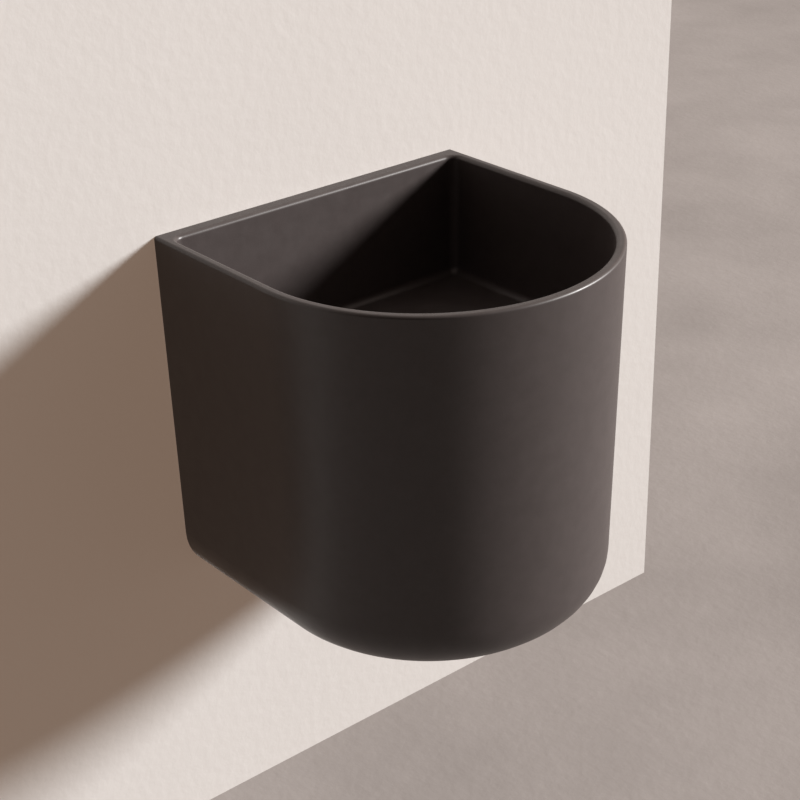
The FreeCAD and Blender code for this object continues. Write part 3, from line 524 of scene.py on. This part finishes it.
def bottle_trap():
    """The inlet tube with its two nuts, the fluted cup, and the pipe, nut and rosette at the wall."""
    ring("inlet_seal", along_z, 15.5, TUBE_COLLAR, -30, -28, 0.5)
    tube = [(TUBE_BORE, -170), (TUBE, -170), (TUBE, -32.5)]
    tube += [(TUBE_COLLAR, -32.5), (TUBE_COLLAR, -30), (TUBE_BORE, -30)]
    turned("inlet_tube", along_z, tube, 0.3)
    union_nut("inlet_nut", along_z, -11, -32.5, -37)
    union_nut("head_nut", along_z, -79.05, -62.05, -57.55)
    ring("head_seal", along_z, TUBE + 0.02, TUBE_COLLAR, -66.05, -62.05, 0.6)
    ring("cup_seal", along_z, 28.02, 31, -129.95, -127.95, 0.5)
    cup = [(0, -189.5), (29.95, -189.5), (29.95, -143.95), (32.5, -141.95), (32.5, -129.95)]
    cup += [(28.05, -129.95), (28.05, -141.95), (27.45, -141.95), (27.45, -175), (15.45, -187), (0, -187)]
    rounds = [0, 12, 1.5, 1.0, 1.2, 0.4, 0.2, 0.2, 3, 3, 0]
    turned("trap_cup", along_z, cup, rounds, flutes(24, 32.5, 0.75, -146), 288, 1.5)
    mark = TUBE - 0.3  # the groove that marks how far the pipe goes in
    pipe = [(TUBE_BORE, -172), (TUBE, -172), (TUBE, 0), (mark, 0.1)]
    pipe += [(mark, 1.4), (TUBE, 1.5), (TUBE, 45), (TUBE_BORE, 45)]
    turned("outlet_pipe", along_y, pipe, 0.1)
    ring("outlet_seal", along_y, TUBE + 0.02, TUBE_COLLAR, -162, -158, 0.6)
    union_nut("outlet_nut", along_y, -175, -158, -153.5)
    rose = [(16.05, -12), (19.05, -12), (36, -1.8), (36, 0), (34.8, 0), (18.45, -10.8), (16.05, -10.8)]
    turned("wall_rosette", along_y, rose, [0.3, 2.2, 1.0, 0.2, 0.2, 1.5, 0.3], step=2.0)


def resurfaced(node, sharp=32.0):
    """A copy of a node with its doubles merged, so that its round faces shade smoothly."""
    source = frame["nodes"][node].data
    points = np.zeros(len(source.vertices) * 3)
    source.vertices.foreach_get("co", points)
    faces = [list(face.vertices) for face in source.polygons]
    piece = finish_mesh(node + "_turned", points.reshape(-1, 3) / MM, faces, FINISH[SLOT_OF[node]], sharp)
    return stand_for(piece, node)


# ---------------------------------------------------------------- finishes


class Nodes:
    """A short way to write a node tree: each call adds a node and joins its inputs."""

    def __init__(self, tree):
        self.tree = tree

    def add(self, kind, inputs=None, **settings):
        node = self.tree.nodes.new(kind)
        for key, value in settings.items():
            setattr(node, key, value)
        for key, value in (inputs or {}).items():
            if isinstance(value, bpy.types.NodeSocket):
                self.tree.links.new(value, node.inputs[key])
            else:
                node.inputs[key].default_value = value
        return node

    def noise(self, where, scale, detail=3.0, rough=0.5):
        inputs = {"Vector": where, "Scale": scale, "Detail": detail, "Roughness": rough}
        return self.add("ShaderNodeTexNoise", inputs).outputs["Fac"]

    def span(self, value, low, high, to_low=0.0, to_high=1.0):
        inputs = {"Value": value, "From Min": low, "From Max": high, "To Min": to_low, "To Max": to_high}
        return self.add("ShaderNodeMapRange", inputs).outputs["Result"]

    def mix(self, share, first, second, how="MIX"):
        inputs = {0: share, 6: first, 7: second}
        return self.add("ShaderNodeMix", inputs, data_type="RGBA", blend_type=how).outputs[2]

    def sum(self, first, second, how="ADD", clamp=False):
        inputs = {0: first, 1: second}
        return self.add("ShaderNodeMath", inputs, operation=how, use_clamp=clamp).outputs[0]

    def either(self, share, first, second):
        inputs = {0: share, 2: first, 3: second}
        return self.add("ShaderNodeMix", inputs, data_type="FLOAT").outputs[0]


def effect(name, inputs, outputs):
    """An empty node group with named sockets, its inner nodes to be added."""
    group = bpy.data.node_groups.new(name, "ShaderNodeTree")
    for socket, kind, value in inputs:
        made = group.interface.new_socket(socket, in_out="INPUT", socket_type=kind)
        made.default_value = value
    for socket, kind in outputs:
        group.interface.new_socket(socket, in_out="OUTPUT", socket_type=kind)
    nodes = Nodes(group)
    return group, nodes, nodes.add("NodeGroupInput").outputs, nodes.add("NodeGroupOutput").inputs


FLOAT = "NodeSocketFloat"


def settling_dust():
    """Dust and dried water: more on what faces up, broken by two sizes of noise."""
    inputs = [("Amount", FLOAT, 0.3), ("Patch Size", FLOAT, 30.0)]
    group, n, given, out = effect("settling dust", inputs, [("Mask", FLOAT)])
    where = n.add("ShaderNodeTexCoord").outputs["Object"]
    facing = n.add("ShaderNodeSeparateXYZ", {0: n.add("ShaderNodeNewGeometry").outputs["Normal"]}).outputs[2]
    patches = n.span(n.noise(where, given["Patch Size"], 5.0, 0.6), 0.42, 0.72)
    flecks = n.span(n.noise(where, 1400.0, 2.0), 0.56, 0.74)
    up = n.span(facing, 0.2, 1.0, 0.15, 1.0)
    both = n.sum(patches, n.sum(flecks, 0.6, "MULTIPLY"), clamp=True)
    mask = n.sum(n.sum(both, up, "MULTIPLY"), given["Amount"], "MULTIPLY")
    n.tree.links.new(mask, out["Mask"])
    return group


def fine_scratches():
    """Short scratches from wiping: noise drawn out in three directions, kept only at its peaks."""
    inputs = [("Length", FLOAT, 14.0), ("Density", FLOAT, 0.5)]
    group, n, given, out = effect("fine scratches", inputs, [("Mask", FLOAT)])
    where = n.add("ShaderNodeTexCoord").outputs["Object"]
    found = None
    for turn, stretch in ((0.3, 38.0), (1.4, 30.0), (2.5, 44.0)):
        mapped = n.add("ShaderNodeMapping", {"Vector": where, "Rotation": (turn, turn * 0.7, turn * 1.3)})
        mapped.inputs["Scale"].default_value = (stretch, 1.0, stretch)
        peaks = n.span(n.noise(mapped.outputs[0], given["Length"], 2.0), 0.70, 0.76)
        found = peaks if found is None else n.sum(found, peaks, "MAXIMUM")
    n.tree.links.new(n.sum(found, given["Density"], "MULTIPLY"), out["Mask"])
    return group


def grain():
    """A fine all-over grain: small bumps with a slow swell under them."""
    inputs = [("Size", FLOAT, 900.0), ("Swell", FLOAT, 0.3)]
    group, n, given, out = effect("grain", inputs, [("Height", FLOAT), ("Tone", FLOAT)])
    where = n.add("ShaderNodeTexCoord").outputs["Object"]
    small = n.noise(where, given["Size"], 3.0, 0.55)
    slow = n.noise(where, 14.0, 2.0)
    n.tree.links.new(n.sum(small, n.sum(slow, given["Swell"], "MULTIPLY")), out["Height"])
    n.tree.links.new(n.span(n.noise(where, 55.0, 4.0, 0.6), 0.3, 0.7), out["Tone"])
    return group


EFFECTS = {"dust": settling_dust(), "scratches": fine_scratches(), "grain": grain()}


def finish(name, **constants):
    """A new material with a Principled BSDF, whose constants go straight on its own sockets."""
    material = bpy.data.materials.new(name)
    material.use_nodes = True
    shader = material.node_tree.nodes["Principled BSDF"]
    for socket, value in constants.items():
        shader.inputs[socket.replace("_", " ")].default_value = value
    return Nodes(material.node_tree), shader, material


def use(n, effect_name, **values):
    """The outputs of a shared effect, added to a material with these values on its sockets."""
    node = n.add("ShaderNodeGroup", node_tree=EFFECTS[effect_name])
    for socket, value in values.items():
        node.inputs[socket.replace("_", " ")].default_value = value
    return node.outputs


def join(n, shader, color=None, rough=None, height=None, depth=0.0):
    """Feeds the shader's colour, roughness and, through a bump, its normal."""
    if color is not None:
        n.tree.links.new(color, shader.inputs["Base Color"])
    if rough is not None:
        n.tree.links.new(rough, shader.inputs["Roughness"])
    if height is not None:
        bump = n.add("ShaderNodeBump", {"Height": height, "Strength": 1.0, "Distance": depth})
        n.tree.links.new(bump.outputs[0], shader.inputs["Normal"])


def satin_glaze():
    """Dark satin glaze: a warm charcoal, finely speckled, paler where it thins over an edge."""
    n, shader, material = finish("satin glaze", Specular_IOR_Level=0.55)
    where = n.add("ShaderNodeTexCoord").outputs["Object"]
    skin = use(n, "grain", Size=620.0, Swell=0.5)
    body = n.mix(skin["Tone"], (0.066, 0.053, 0.051, 1), (0.077, 0.062, 0.060, 1))
    speck = n.span(n.noise(where, 2300.0, 2.0), 0.62, 0.74)
    body = n.mix(n.sum(speck, 0.45, "MULTIPLY"), body, (0.120, 0.100, 0.095, 1))
    pits = n.add("ShaderNodeTexVoronoi", {"Vector": where, "Scale": 210.0, "Randomness": 1.0})
    pinhole = n.span(pits.outputs["Distance"], 0.03, 0.09, 1.0, 0.0)
    thin = n.add("ShaderNodeAttribute", attribute_name="thin_glaze").outputs["Fac"]
    worn = n.sum(thin, n.span(n.noise(where, 90.0, 4.0), 0.3, 0.7, 0.5, 1.0), "MULTIPLY")
    body = n.mix(n.sum(worn, 0.55, "MULTIPLY"), body, (0.120, 0.101, 0.096, 1))
    dust = use(n, "dust", Amount=0.10, Patch_Size=24.0)["Mask"]
    body = n.mix(dust, body, (0.22, 0.20, 0.185, 1))
    wiped = use(n, "scratches", Length=9.0, Density=0.35)["Mask"]
    rough = n.span(n.noise(where, 38.0, 4.0, 0.6), 0.25, 0.75, 0.36, 0.45)
    rough = n.sum(n.sum(rough, n.sum(dust, 0.5, "MULTIPLY")), n.sum(wiped, -0.06, "MULTIPLY"))
    height = n.sum(skin["Height"], n.sum(pinhole, -0.8, "MULTIPLY"))
    join(n, shader, body, rough, height, 0.00005)
    return material


def metal(name, base, dull, rough, lined, depth=0.00002):
    """Plated or bare metal: the colour drifts a little, and wiping and dust break the shine."""
    n, shader, material = finish(name, Metallic=1.0)
    where = n.add("ShaderNodeTexCoord").outputs["Object"]
    skin = use(n, "grain", Size=1500.0, Swell=0.2)
    color = n.mix(skin["Tone"], (*base, 1), (*dull, 1))
    dust = use(n, "dust", Amount=0.22, Patch_Size=40.0)["Mask"]
    color = n.mix(dust, color, (0.30, 0.29, 0.27, 1))
    wiped = use(n, "scratches", Length=lined, Density=0.8)["Mask"]
    spots = n.span(n.noise(where, 120.0, 4.0, 0.6), 0.52, 0.64, 0.0, 0.10)
    marks = n.sum(n.sum(wiped, 0.12, "MULTIPLY"), n.sum(dust, 0.6, "MULTIPLY"))
    level = n.sum(n.sum(rough, spots), marks)
    join(n, shader, color, level, n.sum(skin["Height"], n.sum(wiped, -0.5, "MULTIPLY")), depth)
    return material


def moulded(name, base, pale, rough, dust_level, size=700.0, depth=0.00006):
    """Rubber or plastic from a mould: a matt grain, with dust in it."""
    n, shader, material = finish(name)
    skin = use(n, "grain", Size=size, Swell=0.15)
    color = n.mix(skin["Tone"], (*base, 1), (*pale, 1))
    dust = use(n, "dust", Amount=dust_level, Patch_Size=60.0)["Mask"]
    color = n.mix(dust, color, (0.36, 0.34, 0.31, 1))
    worn = use(n, "scratches", Length=20.0, Density=0.6)["Mask"]
    level = n.span(skin["Tone"], 0.0, 1.0, rough - 0.06, rough + 0.06)
    level = n.sum(level, n.sum(worn, -0.1, "MULTIPLY"))
    join(n, shader, color, level, skin["Height"], depth)
    return material


FINISH = {
    "glaze": satin_glaze(),
    "chrome": metal("bright chrome", (0.80, 0.81, 0.82), (0.72, 0.73, 0.74), 0.07, 16.0),
    "brass": metal("turned brass", (0.72, 0.54, 0.27), (0.55, 0.39, 0.18), 0.26, 30.0),
    "zinc": metal("bright zinc", (0.62, 0.63, 0.63), (0.50, 0.51, 0.50), 0.34, 24.0, 0.00005),
    "steel": metal("drawn steel", (0.60, 0.60, 0.59), (0.50, 0.50, 0.49), 0.24, 36.0),
    "nylon": moulded("natural nylon", (0.58, 0.57, 0.53), (0.66, 0.65, 0.61), 0.48, 0.3),
    "sleeve": moulded("white plastic", (0.74, 0.74, 0.72), (0.80, 0.80, 0.78), 0.40, 0.3),
    "carrier": moulded("black plastic", (0.030, 0.030, 0.031), (0.045, 0.045, 0.046), 0.42, 0.2),
    "rubber": moulded("black rubber", (0.022, 0.022, 0.022), (0.036, 0.035, 0.034), 0.66, 0.35, 1100.0),
}

verts, polys, edge = casting()
stand_for(finish_mesh("basin_casting", verts, polys, FINISH["glaze"], edge=edge), "basin")

fixings()
waste()
lifting_spring()
bottle_trap()
resurfaced("trap_head")


# ---------------------------------------------------------------- stage, light and camera


def stage_sheet(name, corners, color, vary, glow):
    """A plain sheet seen from its front by the camera, in shiny faces and through clear ones.

    Every other ray passes it, so that lamps behind it still light the object. Its glow lifts it a
    little in shadow.
    """
    mesh = bpy.data.meshes.new(name)
    mesh.from_pydata(corners, [], [(0, 1, 2, 3)])
    sheet = bpy.data.objects.new(name, mesh)
    bpy.context.scene.collection.objects.link(sheet)
    n, shader, material = finish(name, Roughness=0.9, Specular_IOR_Level=0.1)
    where = n.add("ShaderNodeTexCoord").outputs["Object"]
    drift = n.span(n.noise(where, 2.2, 5.0, 0.6), 0.3, 0.7, 1 - vary, 1 + vary)
    grey = n.add("ShaderNodeCombineColor", {0: drift, 1: drift, 2: drift}).outputs[0]
    tone = n.mix(1.0, (*color, 1), grey, "MULTIPLY")
    join(n, shader, tone, height=n.noise(where, 60.0, 4.0), depth=0.0006)
    shader.inputs["Emission Color"].default_value = (*glow, 1)
    shader.inputs["Emission Strength"].default_value = 1.0
    path = n.add("ShaderNodeLightPath").outputs
    seen = n.sum(path["Is Camera Ray"], path["Is Glossy Ray"], "MAXIMUM")
    seen = n.sum(seen, path["Is Transmission Ray"], "MAXIMUM")
    front = n.sum(1.0, n.add("ShaderNodeNewGeometry").outputs["Backfacing"], "SUBTRACT")
    clear = n.add("ShaderNodeBsdfTransparent")
    shown = n.add("ShaderNodeMixShader", {0: n.sum(seen, front, "MULTIPLY")})
    n.tree.links.new(clear.outputs[0], shown.inputs[1])
    n.tree.links.new(shader.outputs[0], shown.inputs[2])
    n.tree.links.new(shown.outputs[0], n.tree.nodes["Material Output"].inputs["Surface"])
    mesh.materials.append(material)


FLOOR = -0.592  # in metres, as all that follows is
BEHIND = 0.0006  # the sheet stands this far behind the casting's back, so that the two don't flicker
WALL_LEFT, WALL_RIGHT, WALL_TOP = -3, 0.633, 1.6
wall_corners = [(WALL_LEFT, BEHIND, FLOOR), (WALL_RIGHT, BEHIND, FLOOR)]
wall_corners += [(WALL_RIGHT, BEHIND, WALL_TOP), (WALL_LEFT, BEHIND, WALL_TOP)]
stage_sheet("wall", wall_corners, (0.60, 0.61, 0.615), 0.02, (0.185, 0.125, 0.09))
floor_corners = [(-6, -6, FLOOR), (8, -6, FLOOR), (8, 8, FLOOR), (-6, 8, FLOOR)]
stage_sheet("floor", floor_corners, (0.43, 0.405, 0.395), 0.14, (0.09, 0.07, 0.06))


def sun(name, towards, energy, color, width):
    """A lamp far off in one direction; its width in degrees makes its shadows soft."""
    data = bpy.data.lights.new(name, "SUN")
    data.energy = energy
    data.color = color
    data.angle = math.radians(width)
    light = bpy.data.objects.new(name, data)
    light.rotation_mode = "QUATERNION"
    light.rotation_quaternion = Vector(towards).to_track_quat("Z", "Y")
    bpy.context.scene.collection.objects.link(light)


sun("window light", (1.5, -1.0, 0.57), 5.1, (1.0, 0.975, 0.955), 12)
sun("light from behind and below", (0.45, 0.8, -0.5), 1.5, (1.0, 0.93, 0.87), 30)


def light_all_round():
    """Dim warm light from all round, strongest from the right and from behind the wall.

    The camera sees it at one level, and shiny and clear faces see it brighter than other faces do.
    """
    world = bpy.data.worlds.new("light all round")
    bpy.context.scene.world = world
    world.use_nodes = True
    n = Nodes(world.node_tree)
    where = n.add("ShaderNodeTexCoord").outputs["Generated"]
    bright_side = (0.56, 0.68, 0.15)
    dot = n.add("ShaderNodeVectorMath", {0: where, 1: bright_side}, operation="DOT_PRODUCT")
    fill = n.span(dot.outputs["Value"], -0.5, 0.9, 0.02, 0.48)
    shine = n.span(dot.outputs["Value"], -0.8, 0.9, 0.08, 0.62)
    path = n.add("ShaderNodeLightPath").outputs
    shiny = n.sum(path["Is Glossy Ray"], path["Is Transmission Ray"], "MAXIMUM")
    level = n.either(path["Is Camera Ray"], n.either(shiny, fill, shine), 0.62)
    back = world.node_tree.nodes["Background"]
    back.inputs["Color"].default_value = (1.0, 0.83, 0.73, 1)
    world.node_tree.links.new(level, back.inputs["Strength"])


light_all_round()


def photo_camera():
    """The camera that the casting's outline was fitted with: its place, three angles and its lens."""
    yaw, pitch, roll = 0.6914, 0.4625, 0.0233
    ahead = Vector((math.sin(yaw) * math.cos(pitch), math.cos(yaw) * math.cos(pitch), -math.sin(pitch)))
    right = Vector((math.cos(yaw), -math.sin(yaw), 0))
    down = ahead.cross(right)
    across = right * math.cos(roll) + down * math.sin(roll)
    below = down * math.cos(roll) - right * math.sin(roll)
    data = bpy.data.cameras.new("camera")
    data.lens = 79.09  # millimetres, as the sensor's width is
    data.sensor_width = 36
    camera = bpy.data.objects.new("camera", data)
    turn = Matrix((across, -below, -ahead)).transposed().to_4x4()
    place = (-1.2008, -1.6080, 0.9296)
    camera.matrix_world = Matrix.Translation(place) @ turn
    bpy.context.scene.collection.objects.link(camera)
    bpy.context.scene.camera = camera


photo_camera()
bpy.context.scene.view_settings.view_transform = "Standard"
